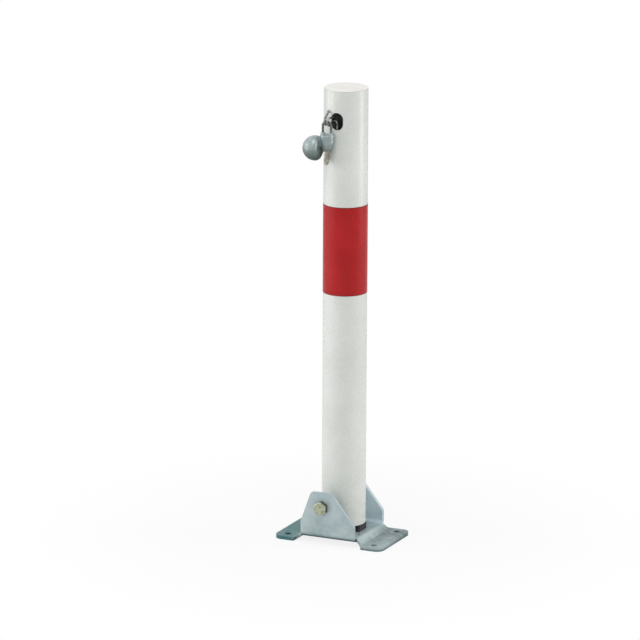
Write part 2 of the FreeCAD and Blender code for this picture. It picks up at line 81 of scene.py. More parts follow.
post_x = (post_low.x + post_high.x) / 2
post_r = (post_high.x - post_low.x) / 2
pivot_x = (sleeve_low.x + sleeve_high.x) / 2
pivot_z = (sleeve_low.z + sleeve_high.z) / 2
sleeve_r = (sleeve_high.z - sleeve_low.z) / 2
staple_x = (staple_low.x + staple_high.x) / 2
staple_r = (staple_high.x - staple_low.x) / 2
shackle_r = (shackle_high.y - shackle_low.y) / 2
lock_x = (shackle_low.x + shackle_high.x) / 2
lock_y = (shackle_low.y + shackle_high.y) / 2
shackle_span = (shackle_high.x - shackle_low.x) / 2 - shackle_r
shackle_arc_z = shackle_high.z - shackle_r - shackle_span


# Node materials

class Finish:
    """A node material under construction. Its texture coordinates are the part's own metres."""

    def __init__(self, name, roughness, metallic=0.0):
        self.material = bpy.data.materials.new(name)
        self.material.use_nodes = True
        self.tree = self.material.node_tree
        self.shader = self.tree.nodes["Principled BSDF"]
        self.shader.inputs["Roughness"].default_value = roughness
        self.shader.inputs["Metallic"].default_value = metallic
        self.place = self.tree.nodes.new("ShaderNodeTexCoord").outputs["Object"]

    def feed(self, socket, value):
        if isinstance(value, bpy.types.NodeSocket):
            self.tree.links.new(value, socket)
        elif isinstance(value, tuple):
            needs_alpha = len(value) == 3 and len(socket.default_value) == 4
            socket.default_value = (*value, 1.0) if needs_alpha else value
        else:
            socket.default_value = value

    def stretched(self, factors):
        node = self.tree.nodes.new("ShaderNodeMapping")
        self.tree.links.new(self.place, node.inputs["Vector"])
        node.inputs["Scale"].default_value = factors
        return node.outputs["Vector"]

    def noise(self, size, detail=3.0, rough=0.5, place=None):
        """Noise whose blobs are about size metres across."""
        node = self.tree.nodes.new("ShaderNodeTexNoise")
        self.tree.links.new(place or self.place, node.inputs["Vector"])
        node.inputs["Scale"].default_value = 1.0 / size
        node.inputs["Detail"].default_value = detail
        node.inputs["Roughness"].default_value = rough
        return node.outputs["Fac"]

    def cells(self, size, feature="F1", output="Distance", place=None):
        """Cells about size metres across."""
        node = self.tree.nodes.new("ShaderNodeTexVoronoi")
        node.feature = feature
        self.tree.links.new(place or self.place, node.inputs["Vector"])
        node.inputs["Scale"].default_value = 1.0 / size
        return node.outputs[output]

    def axis(self, letter):
        node = self.tree.nodes.new("ShaderNodeSeparateXYZ")
        self.tree.links.new(self.place, node.inputs["Vector"])
        return node.outputs[letter]

    def math(self, operation, first, second=0.0, clamp=False):
        node = self.tree.nodes.new("ShaderNodeMath")
        node.operation = operation
        node.use_clamp = clamp
        self.feed(node.inputs[0], first)
        self.feed(node.inputs[1], second)
        return node.outputs["Value"]

    def product(self, first, *others):
        for other in others:
            first = self.math("MULTIPLY", first, other)
        return first

    def span(self, value, start, end, low=0.0, high=1.0):
        """value from start to end becomes low to high, and stops there."""
        node = self.tree.nodes.new("ShaderNodeMapRange")
        node.interpolation_type = "SMOOTHSTEP"
        self.feed(node.inputs["Value"], value)
        node.inputs["From Min"].default_value = start
        node.inputs["From Max"].default_value = end
        node.inputs["To Min"].default_value = low
        node.inputs["To Max"].default_value = high
        return node.outputs["Result"]

    def blend(self, factor, first, second, kind="MIX"):
        node = self.tree.nodes.new("ShaderNodeMix")
        node.data_type = "RGBA"
        node.blend_type = kind
        self.feed(node.inputs["Factor"], factor)
        self.feed(node.inputs[6], first)
        self.feed(node.inputs[7], second)
        return node.outputs[2]

    def bump(self, height, depth, below=None):
        """Relief of depth metres from a height between 0 and 1."""
        node = self.tree.nodes.new("ShaderNodeBump")
        node.inputs["Distance"].default_value = depth
        self.feed(node.inputs["Height"], height)
        if below is not None:
            self.feed(node.inputs["Normal"], below)
        return node.outputs["Normal"]

    def done(self, colour, roughness=None, normal=None, metallic=None):
        self.feed(self.shader.inputs["Base Color"], colour)
        if roughness is not None:
            self.feed(self.shader.inputs["Roughness"], roughness)
        if metallic is not None:
            self.feed(self.shader.inputs["Metallic"], metallic)
        if normal is not None:
            self.feed(self.shader.inputs["Normal"], normal)
        return self.material


def zinc_sheet_finish():
    """Galvanised sheet: faint crystals, cloudy bloom, handling scratches, dirt and painted shade low down,
    painted light on the upper ears and on the back ear's inner face, and painted shade on the left foot and
    along the front ear's lower edge.
    """
    finish = Finish("zinc_sheet_look", 0.42)
    crystals = finish.cells(4.5 * MM, "F1", "Color")
    cloud = finish.span(finish.noise(28 * MM, 5.0, 0.6), 0.35, 0.68)
    colour = finish.blend(cloud, (0.345, 0.435, 0.45), (0.475, 0.565, 0.58))
    colour = finish.blend(finish.span(crystals, 0.2, 0.9, 0.0, 0.16), colour, (0.60, 0.68, 0.70))
    streaks = finish.noise(6 * MM, 4.0, 0.7, finish.stretched((0.12, 1.0, 1.0)))
    colour = finish.blend(finish.span(streaks, 0.58, 0.74, 0.0, 0.35), colour, (0.60, 0.63, 0.67))
    across, along, up = finish.axis("X"), finish.axis("Y"), finish.axis("Z")

    # Dirt with painted shade low down, heavier towards the back, and painted shade on the lower half of the
    # sheet's cut edge next to the floor.
    low = finish.span(up, 4 * MM, 13 * MM, 1.0, 0.0)
    dirt_and_shade = finish.span(finish.noise(9 * MM, 5.0, 0.65), 0.36, 0.66, 0.35, 0.75)
    toward_back = finish.span(along, -40 * MM, 40 * MM, 0.45, 1.5)
    colour = finish.blend(finish.product(low, dirt_and_shade, toward_back), colour, (0.10, 0.155, 0.16))
    # Painted shade: the lower half of the sheet's cut edge, next to the floor, is darkened.
    colour = finish.blend(finish.span(up, 1.2 * MM, 4.4 * MM, 0.8, 0.0), colour, (0.09, 0.15, 0.155))

    # Painted light: the ears are made lighter high up.
    colour = finish.blend(finish.span(up, 25 * MM, 60 * MM, 0.0, 0.3), colour, (0.56, 0.66, 0.71))
    # Painted light: the inner face of the back ear, above the web, is made lighter.
    back_ear_light = finish.span(along, 30 * MM, 44 * MM, 0.0, 0.7)
    above_web = finish.span(up, 9 * MM, 16 * MM)
    inner_face = finish.span(along, 45.5 * MM, 48.5 * MM, 1.0, 0.0)
    colour = finish.blend(finish.product(back_ear_light, above_web, inner_face), colour, (0.67, 0.81, 0.88))

    # Painted shade: the left foot is darkened.
    colour = finish.blend(finish.span(across, -56 * MM, -42 * MM, 0.95, 0.0), colour, (0.045, 0.16, 0.165))
    # Painted shade: a dark band along the front ear's lower edge, where the bend turns under into shade.
    front = finish.span(along, -44 * MM, -38 * MM, 1.0, 0.0)
    under = finish.span(up, 9.5 * MM, 13.5 * MM, 0.92, 0.0)
    beside_feet = finish.span(finish.math("ABSOLUTE", across), 39.5 * MM, 41.5 * MM, 1.0, 0.0)
    colour = finish.blend(finish.product(front, under, beside_feet), colour, (0.02, 0.09, 0.09))

    roughness = finish.span(finish.noise(11 * MM, 4.0, 0.6), 0.3, 0.7, 0.34, 0.56)
    pits = finish.bump(finish.noise(0.9 * MM, 3.0, 0.6), 0.06 * MM)
    waves = finish.bump(finish.noise(14 * MM, 2.0, 0.5), 0.25 * MM, pits)
    return finish.done(colour, roughness, waves, 0.35)


def yellow_zinc_finish():
    """Yellow-passivated zinc with a pale green and rose bloom, and painted shade on the bolt head's side
    faces.
    """
    finish = Finish("yellow_zinc_look", 0.3, 0.6)
    bloom = finish.span(finish.noise(5 * MM, 3.0, 0.5), 0.35, 0.65)
    colour = finish.blend(bloom, (0.32, 0.35, 0.24), (0.46, 0.50, 0.37))
    rose = finish.span(finish.noise(3.2 * MM, 2.0, 0.5), 0.55, 0.72, 0.0, 0.45)
    colour = finish.blend(rose, colour, (0.52, 0.45, 0.38))
    rubbed = finish.span(finish.noise(1.4 * MM, 4.0, 0.7), 0.62, 0.74, 0.0, 0.5)
    colour = finish.blend(rubbed, colour, (0.26, 0.25, 0.20))
    # Painted shade: the bolt head's side faces, past its end face, are made nearly black.
    past_face = finish.span(finish.axis("Y"), bolt_low.y + 0.5 * MM, bolt_low.y + 1.4 * MM, 0.0, 0.85)
    on_head = finish.span(finish.axis("Y"), bolt_low.y + 8 * MM, bolt_low.y + 12 * MM, 1.0, 0.0)
    colour = finish.blend(finish.product(past_face, on_head), colour, (0.035, 0.035, 0.03))
    roughness = finish.span(finish.noise(2.5 * MM, 3.0, 0.6), 0.3, 0.7, 0.24, 0.44)
    return finish.done(colour, roughness, finish.bump(finish.noise(0.7 * MM, 3.0, 0.6), 0.04 * MM))


def nylon_finish():
    finish = Finish("nylon_look", 0.38)
    tone = finish.span(finish.noise(2 * MM, 3.0, 0.6), 0.35, 0.65)
    colour = finish.blend(tone, (0.60, 0.61, 0.57), (0.70, 0.71, 0.67))
    roughness = finish.span(finish.noise(1.5 * MM), 0.3, 0.7, 0.3, 0.5)
    return finish.done(colour, roughness, finish.bump(finish.noise(0.4 * MM, 3.0, 0.6), 0.03 * MM))


def rubber_finish():
    finish = Finish("black_rubber_look", 0.72)
    dust = finish.span(finish.noise(3 * MM, 5.0, 0.7), 0.5, 0.75, 0.0, 0.35)
    colour = finish.blend(dust, (0.022, 0.022, 0.024), (0.11, 0.105, 0.10))
    roughness = finish.span(finish.noise(2 * MM), 0.3, 0.7, 0.62, 0.85)
    return finish.done(colour, roughness, finish.bump(finish.noise(0.5 * MM, 4.0, 0.65), 0.12 * MM))


def white_paint_finish(name="white_paint_look", peel_depth=0.035 * MM):
    """Powder coat with orange peel, faint clouding, scuffs near the pivot and dust at the foot."""
    finish = Finish(name, 0.3)
    cloud = finish.span(finish.noise(60 * MM, 4.0, 0.55), 0.35, 0.68)
    colour = finish.blend(cloud, (0.715, 0.745, 0.705), (0.775, 0.80, 0.765))
    height = finish.axis("Z")
    foot = finish.span(height, 22 * MM, 120 * MM, 1.0, 0.0)
    dust = finish.span(finish.noise(13 * MM, 6.0, 0.7), 0.46, 0.72)
    dust_share = finish.product(foot, dust, 0.32)
    colour = finish.blend(dust_share, colour, (0.50, 0.49, 0.45))
    specks = finish.span(finish.cells(7 * MM), 0.035, 0.06, 1.0, 0.0)
    sparse = finish.span(finish.noise(25 * MM, 2.0), 0.60, 0.66)
    speck_share = finish.product(specks, sparse, 0.55)
    colour = finish.blend(speck_share, colour, (0.36, 0.36, 0.34))
    scuffs = finish.noise(2.2 * MM, 4.0, 0.7, finish.stretched((1.0, 1.0, 0.5)))
    roughness = finish.span(scuffs, 0.45, 0.7, 0.27, 0.33)
    peel = finish.bump(finish.noise(1.5 * MM, 2.0, 0.45), peel_depth)
    finish.shader.inputs["Coat Weight"].default_value = 0.25
    finish.shader.inputs["Coat Roughness"].default_value = 0.12
    return finish.done(colour, roughness, peel)


def white_plastic_finish():
    """Moulded cap: slightly warm, matt, with a fine grain and a few rubbed marks."""
    finish = Finish("white_plastic_look", 0.42)
    cloud = finish.span(finish.noise(18 * MM, 4.0, 0.6), 0.35, 0.65)
    colour = finish.blend(cloud, (0.87, 0.855, 0.81), (0.91, 0.90, 0.865))
    marks = finish.span(finish.noise(4 * MM, 6.0, 0.75), 0.60, 0.72, 0.0, 0.22)
    colour = finish.blend(marks, colour, (0.62, 0.60, 0.55))
    # Painted shade: a thin dark line on the cap just above the tube's top edge, where the cap meets the
    # tube.
    cap_edge_shade = finish.span(finish.axis("Z"), post_high.z + 0.15 * MM, post_high.z + 0.6 * MM, 0.75, 0.0)
    colour = finish.blend(cap_edge_shade, colour, (0.34, 0.33, 0.29))
    roughness = finish.span(finish.noise(5 * MM, 3.0), 0.3, 0.7, 0.36, 0.52)
    finish.shader.inputs["Subsurface Weight"].default_value = 0.04
    finish.shader.inputs["Subsurface Scale"].default_value = 1 * MM
    return finish.done(colour, roughness, finish.bump(finish.noise(0.45 * MM, 3.0, 0.6), 0.03 * MM))


def red_film_finish():
    """Reflective film: a fine bead pattern under a glossy face, and a dark rubbed line at each cut edge."""
    finish = Finish("red_film_look", 0.34)
    beads = finish.span(finish.cells(0.55 * MM), 0.1, 0.5, 0.0, 1.0)
    cloud = finish.span(finish.noise(35 * MM, 4.0, 0.55), 0.35, 0.7)
    colour = finish.blend(cloud, (0.40, 0.008, 0.010), (0.48, 0.012, 0.014))
    colour = finish.blend(finish.product(beads, 0.2), colour, (0.52, 0.022, 0.024))
    height = finish.axis("Z")
    edge_wave = finish.product(finish.noise(3 * MM, 5.0, 0.7), 1.6 * MM)
    from_low = finish.math("SUBTRACT", finish.math("SUBTRACT", height, band_low.z), edge_wave)
    from_high = finish.math("SUBTRACT", finish.math("SUBTRACT", band_high.z, height), edge_wave)
    from_edge = finish.math("MINIMUM", from_low, from_high)
    edge = finish.span(from_edge, -0.4 * MM, 0.9 * MM, 1.0, 0.0)
    colour = finish.blend(finish.product(edge, 0.7), colour, (0.10, 0.012, 0.014))
    specks = finish.span(finish.cells(11 * MM), 0.028, 0.05, 1.0, 0.0)
    sparse = finish.span(finish.noise(30 * MM, 2.0), 0.54, 0.6)
    speck_share = finish.product(specks, sparse, 0.6)
    colour = finish.blend(speck_share, colour, (0.72, 0.42, 0.40))
    roughness = finish.span(finish.noise(8 * MM, 4.0, 0.6), 0.3, 0.7, 0.22, 0.34)
    relief = finish.bump(beads, 0.012 * MM)
    ripple = finish.bump(finish.noise(16 * MM, 2.0, 0.5), 0.18 * MM, relief)
    finish.shader.inputs["Specular IOR Level"].default_value = 0.03
    finish.shader.inputs["Coat Weight"].default_value = 0.4
    finish.shader.inputs["Coat Roughness"].default_value = 0.03
    return finish.done(colour, roughness, ripple)


def bar_steel_finish(name, light, dark, rust_share):
    """Drawn steel bar, zinc-plated or dark, with lengthwise marks and a little rust in the pits."""
    finish = Finish(name, 0.36, 0.8)
    tone = finish.span(finish.noise(3.5 * MM, 4.0, 0.6), 0.35, 0.66)
    colour = finish.blend(tone, dark, light)
    pits = finish.span(finish.noise(1.1 * MM, 5.0, 0.7), 0.60, 0.72)
    colour = finish.blend(finish.product(pits, rust_share), colour, (0.20, 0.115, 0.06))
    roughness = finish.span(finish.noise(1.6 * MM, 4.0, 0.6), 0.3, 0.7, 0.26, 0.52)
    return finish.done(colour, roughness, finish.bump(finish.noise(0.6 * MM, 4.0, 0.65), 0.06 * MM))


def cast_zinc_finish():
    """Satin zinc casting with a fine sand texture, polished high spots and painted shade darkening towards
    the bottom.
    """
    finish = Finish("cast_zinc_look", 0.4, 0.55)
    cloud = finish.span(finish.noise(7 * MM, 5.0, 0.6), 0.34, 0.68)
    colour = finish.blend(cloud, (0.28, 0.345, 0.345), (0.41, 0.475, 0.47))
    # Painted shade: the case is made much darker towards its bottom.
    case_bottom_shade = finish.span(finish.axis("Z"), body_low.z - 2 * MM, body_low.z + 30 * MM, 1.0, 0.0)
    colour = finish.blend(finish.product(case_bottom_shade, 0.95), colour, (0.025, 0.06, 0.04))
    rubbed = finish.span(finish.noise(2.4 * MM, 5.0, 0.7), 0.60, 0.72, 0.0, 0.4)
    colour = finish.blend(rubbed, colour, (0.56, 0.58, 0.58))
    roughness = finish.span(finish.noise(3 * MM, 4.0, 0.6), 0.3, 0.7, 0.32, 0.54)
    sand = finish.bump(finish.noise(0.55 * MM, 4.0, 0.6), 0.07 * MM)
    return finish.done(colour, roughness, sand)


def brass_finish():
    finish = Finish("core_brass_look", 0.3, 0.9)
    tone = finish.span(finish.noise(2 * MM, 4.0, 0.6), 0.35, 0.66)
    colour = finish.blend(tone, (0.50, 0.38, 0.19), (0.72, 0.57, 0.31))
    turned = finish.noise(0.3 * MM, 2.0, 0.5)
    return finish.done(colour, finish.span(turned, 0.3, 0.7, 0.24, 0.42), finish.bump(turned, 0.02 * MM))


def key_nickel_finish():
    finish = Finish("key_nickel_look", 0.26, 0.8)
    tone = finish.span(finish.noise(9 * MM, 2.0, 0.5), 0.3, 0.7)
    colour = finish.blend(tone, (0.44, 0.42, 0.36), (0.54, 0.52, 0.46))
    brushed = finish.noise(0.5 * MM, 4.0, 0.7, finish.stretched((1.0, 0.1, 1.0)))
    return finish.done(colour, finish.span(brushed, 0.3, 0.7, 0.2, 0.4), finish.bump(brushed, 0.02 * MM))


finishes = {
    "zinc_sheet": zinc_sheet_finish(),
    "yellow_zinc": yellow_zinc_finish(),
    "nylon": nylon_finish(),
    "black_rubber": rubber_finish(),
    "white_paint": white_paint_finish(),
    "weld_paint": white_paint_finish("weld_paint_look", 0.12 * MM),
    "white_plastic": white_plastic_finish(),
    "red_film": red_film_finish(),
    "chain_steel": bar_steel_finish("chain_steel_look", (0.40, 0.40, 0.37), (0.10, 0.105, 0.10), 0.6),
    "shackle_steel": bar_steel_finish("shackle_steel_look", (0.19, 0.20, 0.20), (0.085, 0.09, 0.09), 0.25),
    "cast_zinc": cast_zinc_finish(),
    "core_brass": brass_finish(),
    "key_nickel": key_nickel_finish(),
}

slot_of_node = {part["node"]: part["material_slot"] for part in frame["record"]["subparts"]}
for node_name, node_object in frame["nodes"].items():
    for place in node_object.material_slots:
        place.material = finishes[slot_of_node[node_name]]


# Shape helpers

def add_piece(name, mesh, body, slot, replaced=(), smooth_deg=35.0):
    """Object of a finished mesh that rides on a body and has a slot's finish."""
    piece = bpy.data.objects.new(name, mesh)
    bpy.context.scene.collection.objects.link(piece)
    mesh.materials.clear()
    mesh.materials.append(finishes[slot])
    for polygon in mesh.polygons:
        polygon.use_smooth = True
    mesh.set_sharp_from_angle(angle=math.radians(smooth_deg))
    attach(piece, body)
    if replaced:
        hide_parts(*replaced)
    return piece


def mesh_from(name, shape):
    """Mesh from a bmesh, with its faces turned outward."""
    bmesh.ops.recalc_face_normals(shape, faces=shape.faces)
    mesh = bpy.data.meshes.new(name)
    shape.to_mesh(mesh)
    shape.free()
    return mesh


def lathe(shape, profile, frame_of_axis, steps=96):
    """Adds a turned form to a bmesh. profile holds (radius, height) and ends on the axis or joins up."""
    rings = []
    for radius, height in profile:
        if radius < 1e-7:
            rings.append([shape.verts.new(frame_of_axis @ Vector((0, 0, height)))])
            continue
        ring = []
        for step in range(steps):
            angle = 2 * math.pi * step / steps
            ring.append(shape.verts.new(
                frame_of_axis @ Vector((radius * math.cos(angle), radius * math.sin(angle), height))))
        rings.append(ring)
    for first, second in zip(rings, rings[1:]):
        for step in range(steps):
            after = (step + 1) % steps
            if len(first) == 1 and len(second) == 1:
                continue
            if len(first) == 1:
                shape.faces.new((first[0], second[after], second[step]))
            elif len(second) == 1:
                shape.faces.new((first[step], first[after], second[0]))
            else:
                shape.faces.new((first[step], first[after], second[after], second[step]))


def corner_arc(centre_r, centre_h, radius, from_deg, to_deg, steps=8):
    """Points of (radius, height) on a round corner of a turned profile."""
    points = []
    for step in range(steps + 1):
        angle = math.radians(from_deg + (to_deg - from_deg) * step / steps)
        points.append((centre_r + radius * math.cos(angle), centre_h + radius * math.sin(angle)))
    return points


def soft_corner(before, corner, after, steps=6):
    """Points of (radius, height) that round a corner of a turned profile between two given points."""
    points = []
    for step in range(1, steps + 1):
        share = step / steps
        point = before * (1 - share) ** 2 + corner * (2 * share * (1 - share)) + after * share ** 2
        points.append((point.x, point.y))
    return points


def rounded_points(corners, radii, steps=10):
    """Points along straight runs with an arc at each inner corner."""
    points = [corners[0]]
    for before, corner, after, radius in zip(corners, corners[1:], corners[2:], radii):
        to_before = (before - corner).normalized()
        to_after = (after - corner).normalized()
        half_angle = to_before.angle(to_after) / 2
        bisector = (to_before + to_after).normalized()
        centre = corner + bisector * (radius / math.sin(half_angle))
        first = corner + to_before * (radius / math.tan(half_angle)) - centre
        last = corner + to_after * (radius / math.tan(half_angle)) - centre
        turn = first.angle(last)
        for step in range(steps + 1):
            share = step / steps
            arm = first * math.sin((1 - share) * turn) + last * math.sin(share * turn)
            points.append(centre + arm / math.sin(turn))
    points.append(corners[-1])
    return points


def bar_mesh(name, points, radius, closed=False, swell=None, sides=8):
    """Mesh of a round bar along points. swell gives each point's share of the radius."""
    curve = bpy.data.curves.new(name, "CURVE")
    curve.dimensions = "3D"
    curve.bevel_depth = radius
    curve.bevel_resolution = sides
    curve.use_fill_caps = not closed
    spline = curve.splines.new("POLY")
    spline.points.add(len(points) - 1)
    for number, point in enumerate(points):
        spline.points[number].co = (*point, 1.0)
        spline.points[number].radius = swell[number] if swell else 1.0
    spline.use_cyclic_u = closed
    holder = bpy.data.objects.new(name + "_line", curve)
    mesh = bpy.data.meshes.new_from_object(holder)
    bpy.data.objects.remove(holder)
    bpy.data.curves.remove(curve)
    mesh.name = name
    return mesh


def cut_from(piece, cutters):
    """Cuts turned cutters out of a piece with a boolean that is applied at once."""
    for cutter in cutters:
        modifier = piece.modifiers.new("cut", "BOOLEAN")
        modifier.operation = "DIFFERENCE"
        modifier.solver = "EXACT"
        modifier.object = cutter
    bpy.context.view_layer.update()
    cut_mesh = bpy.data.meshes.new_from_object(piece.evaluated_get(bpy.context.evaluated_depsgraph_get()))
    piece.modifiers.clear()
    piece.data = cut_mesh
    for cutter in cutters:
        bpy.data.objects.remove(cutter)


# Cap

def make_cap():
    """Moulded plug cap with a thin lip, a sloping shoulder and a flat crown, over a hollow skirt."""
    rim_r = (cap_high.x - cap_low.x) / 2
    rim_z = post_high.z
    top_z = cap_high.z
    top_r = 24.5 * MM
    lip_h = 0.5 * MM
    crown_drop = 0.08 * MM
    skirt_r = post_r - 3.6 * MM
    skirt_wall = 2.0 * MM
    skirt_chamfer_h = 1.0 * MM
    skirt_chamfer_w = 0.6 * MM
    slope_top = Vector((top_r, top_z - crown_drop))
    slope_foot = Vector((rim_r, rim_z + lip_h))
    run = (slope_foot - slope_top).normalized()
    profile = []
    for step in range(7):
        share = step / 6
        profile.append(((top_r - 1.2 * MM) * share, top_z - crown_drop * share ** 2))
    profile += soft_corner(Vector(profile[-1]), slope_top, slope_top + run * 1.2 * MM)
    profile += soft_corner(slope_foot - run * 0.5 * MM, slope_foot, slope_foot - Vector((0, 0.25 * MM)))
    profile += [(rim_r, rim_z), (skirt_r, rim_z), (skirt_r, cap_low.z + skirt_chamfer_h),
                (skirt_r - skirt_chamfer_w, cap_low.z), (skirt_r - skirt_wall, cap_low.z),
                (skirt_r - skirt_wall, rim_z), (0, rim_z)]
    shape = bmesh.new()
    lathe(shape, profile, Matrix.Translation((post_x, 0, 0)), 128)
    add_piece("cap_shell", mesh_from("cap_shell", shape), "post", "white_plastic", ["post_cap"], 50)


make_cap()


# Padlock

def half_round_case(shape):
    """Drum with a ball end, turned about a level axis."""
    centre_y = body_low.y + case_front_r
    turned = Matrix.Translation((0, centre_y, case_z)) @ Matrix.Rotation(math.radians(-90), 4, "Y")
    back = -case_back_x
    edge = 6.0 * MM
    ball = -case_ball_x
    profile = [(0, back)]
    profile += corner_arc(case_front_r - edge, back + edge, edge, -90, 0)
    profile += corner_arc(0, ball, case_front_r, 0, 90, 24)
    profile[-1] = (0, profile[-1][1])
    lathe(shape, profile, turned, 96)


def hood(shape):
    """Hood round the shackle's legs, from level rounded outlines stacked up."""
    half_line = 1.6 * MM
    sections = [(hood_low_z, 4.2 * MM), (hood_low_z + 0.5 * MM, 4.7 * MM),
                (hood_waist_z, hood_depth / 2), (hood_top_z - 1.2 * MM, hood_depth / 2),
                (hood_top_z - 0.35 * MM, hood_depth / 2 - 0.4 * MM), (hood_top_z, hood_depth / 2 - 1.3 * MM)]
    steps = 48
    rings = []
    for z, radius in sections:
        ring = []
        for step in range(steps):
            angle = 2 * math.pi * (step + 0.5) / steps
            x = radius * math.cos(angle) + math.copysign(half_line, math.cos(angle))
            ring.append(shape.verts.new((lock_x + x, lock_y + radius * math.sin(angle), z)))
        rings.append(ring)
    for first, second in zip(rings, rings[1:]):
        for step in range(steps):
            after = (step + 1) % steps
            shape.faces.new((first[step], first[after], second[after], second[step]))
    shape.faces.new(rings[0])
    shape.faces.new(rings[-1])


case_front_r = 17.0 * MM
case_z = body_low.z + case_front_r
case_back_x = -16.8 * MM
case_ball_x = body_low.x + case_front_r
hood_low_z = core_low.z + 0.4 * MM
hood_waist_z = core_low.z + 12.0 * MM
shoulder_top_z = body_high.z
hood_top_z = shoulder_top_z - 3.0 * MM
hood_depth = 15.6 * MM
shoulder_r = 3.0 * MM
casing_voxel = 0.45 * MM


def make_casing():
    """Casting in one piece: case, hood, shoulders and the neck between, with soft inner corners."""
    shape = bmesh.new()
    half_round_case(shape)
    hood(shape)
    for side in (-1, 1):
        top = shoulder_top_z
        profile = [(0, hood_waist_z), (shoulder_r, hood_waist_z)]
        profile += corner_arc(shoulder_r - 1.0 * MM, top - 1.0 * MM, 1.0 * MM, 0, 90)
        profile.append((0, top))
        lathe(shape, profile, Matrix.Translation((lock_x + side * shackle_span, lock_y, 0)), 32)
    neck = bmesh.ops.create_cube(shape, size=1.0)["verts"]
    neck_from = case_back_x - 4 * MM
    size = Vector((lock_x - neck_from, 10.9 * MM, 9 * MM))
    middle = Vector(((lock_x + neck_from) / 2, lock_y, hood_waist_z))
    bmesh.ops.transform(shape, matrix=Matrix.Translation(middle) @ Matrix.Diagonal((*size, 1)), verts=neck)
    casing = add_piece("padlock_casing", mesh_from("padlock_casing", shape),
                       "padlock", "cast_zinc", ["lock_body"], 60)
    remesh = casing.modifiers.new("joined", "REMESH")
    remesh.mode = "VOXEL"
    remesh.voxel_size = casing_voxel
    soften = casing.modifiers.new("soften", "SMOOTH")
    soften.factor = 0.5
    soften.iterations = 6
    cutters = []
    for side, depth in ((-1, 8.4 * MM), (1, 11.4 * MM)):
        cutters.append(turned_cutter(shackle_r + 0.1 * MM, shoulder_top_z - depth, shoulder_top_z + 2 * MM,
                                     lock_x + side * shackle_span))
    core_r = (core_high.x - core_low.x) / 2
    cutters.append(turned_cutter(core_r + 0.1 * MM, core_low.z - 2 * MM, core_high.z + 0.3 * MM, lock_x))
    cut_from(casing, cutters)
    for polygon in casing.data.polygons:
        polygon.use_smooth = True
    casing.data.set_sharp_from_angle(angle=math.radians(50))


def turned_cutter(radius, low_z, high_z, x):
    shape = bmesh.new()
    profile = [(0, low_z), (radius, low_z), (radius, high_z), (0, high_z)]
    lathe(shape, profile, Matrix.Translation((x, lock_y, 0)), 40)
    cutter = bpy.data.objects.new("cutter", mesh_from("cutter", shape))
    bpy.context.scene.collection.objects.link(cutter)
    return cutter


make_casing()


# Bars: shackle, staple and links

def make_shackle():
    left = lock_x - shackle_span
    right = lock_x + shackle_span
    short_z = shoulder_top_z - 8.0 * MM
    long_z = shackle_low.z
    points = [Vector((left, lock_y, short_z)), Vector((left, lock_y, shackle_arc_z))]
    for step in range(1, 32):
        angle = math.pi * (1 - step / 32)
        points.append(Vector((lock_x + shackle_span * math.cos(angle), lock_y,
                              shackle_arc_z + shackle_span * math.sin(angle))))
    points += [Vector((right, lock_y, shackle_arc_z)), Vector((right, lock_y, long_z))]
    mesh = bar_mesh("shackle_bar", points, shackle_r)
    add_piece("shackle_bar", mesh, "shackle", "shackle_steel", ["lock_shackle"], 60)


def make_staple():
    """Bent bar with its feet let into the weld on the post."""
    top_z = staple_high.z - staple_r
    low_z = staple_low.z + staple_r
    out_y = staple_low.y + staple_r
    root_y = -math.sqrt(post_r ** 2 - (staple_x - post_x) ** 2)
    foot_y = root_y + 0.4 * MM
    step_z = low_z + 7.5 * MM
    corners = [Vector((staple_x, foot_y, top_z)), Vector((staple_x, root_y - staple_r, top_z)),
               Vector((staple_x, out_y, step_z)), Vector((staple_x, out_y, low_z)),
               Vector((staple_x, foot_y, low_z))]
    mesh = bar_mesh("staple_bar", rounded_points(corners, [2.4 * MM, 4.0 * MM, 4.0 * MM]), staple_r)
    add_piece("staple_bar", mesh, "post", "chain_steel", ["lock_staple"], 60)


def make_link(node, body, along, across):
    """Round-bar link about the middle of its node, long way along one direction and short way across it."""
    low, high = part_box(node)
    middle = (low + high) / 2
    points = []
    for end in (1, -1):
        for step in range(25):
            angle = math.radians(-90 + 180 * step / 24)
            points.append(middle + end * (along * (link_half_run + link_arc_r * math.cos(angle))
                                          + across * link_arc_r * math.sin(angle)))
    bar = bar_mesh(node + "_bar", points, link_wire_r, True)
    add_piece(node + "_bar", bar, body, "chain_steel", [node], 60)


link_wire_r = 1.5 * MM
link_arc_r = 5.0 * MM
link_half_run = 5.0 * MM
link_turn = math.radians(12.0)

make_shackle()
make_staple()
make_link("tie_link", "post", Vector((math.sin(link_turn), math.cos(link_turn), 0)), Vector((0, 0, 1)))
make_link("tie_end_link", "post", Vector((0, 0, 1)), Vector((math.cos(link_turn), -math.sin(link_turn), 0)))


# Welds

def make_sleeve_bead(side, node):
    """Rippled bead where the sleeve comes out of the post."""
    bead_r = 2.1 * MM
    path_r = sleeve_r + 1.0 * MM
    steps = 180
    ripples = 34
    points = []
    swell = []
    for step in range(steps):
        angle = 2 * math.pi * step / steps
        x = pivot_x + path_r * math.cos(angle)
        z = pivot_z + path_r * math.sin(angle)
        points.append(Vector((x, side * (math.sqrt(post_r ** 2 - (x - post_x) ** 2) + 0.5 * MM), z)))
        swell.append(1.0 + 0.10 * math.sin(ripples * angle) + 0.05 * math.sin(3 * angle + side))
    bead = bar_mesh(node + "_bead", points, bead_r, True, swell)
    add_piece(node + "_bead", bead, "post", "weld_paint", [node], 180)


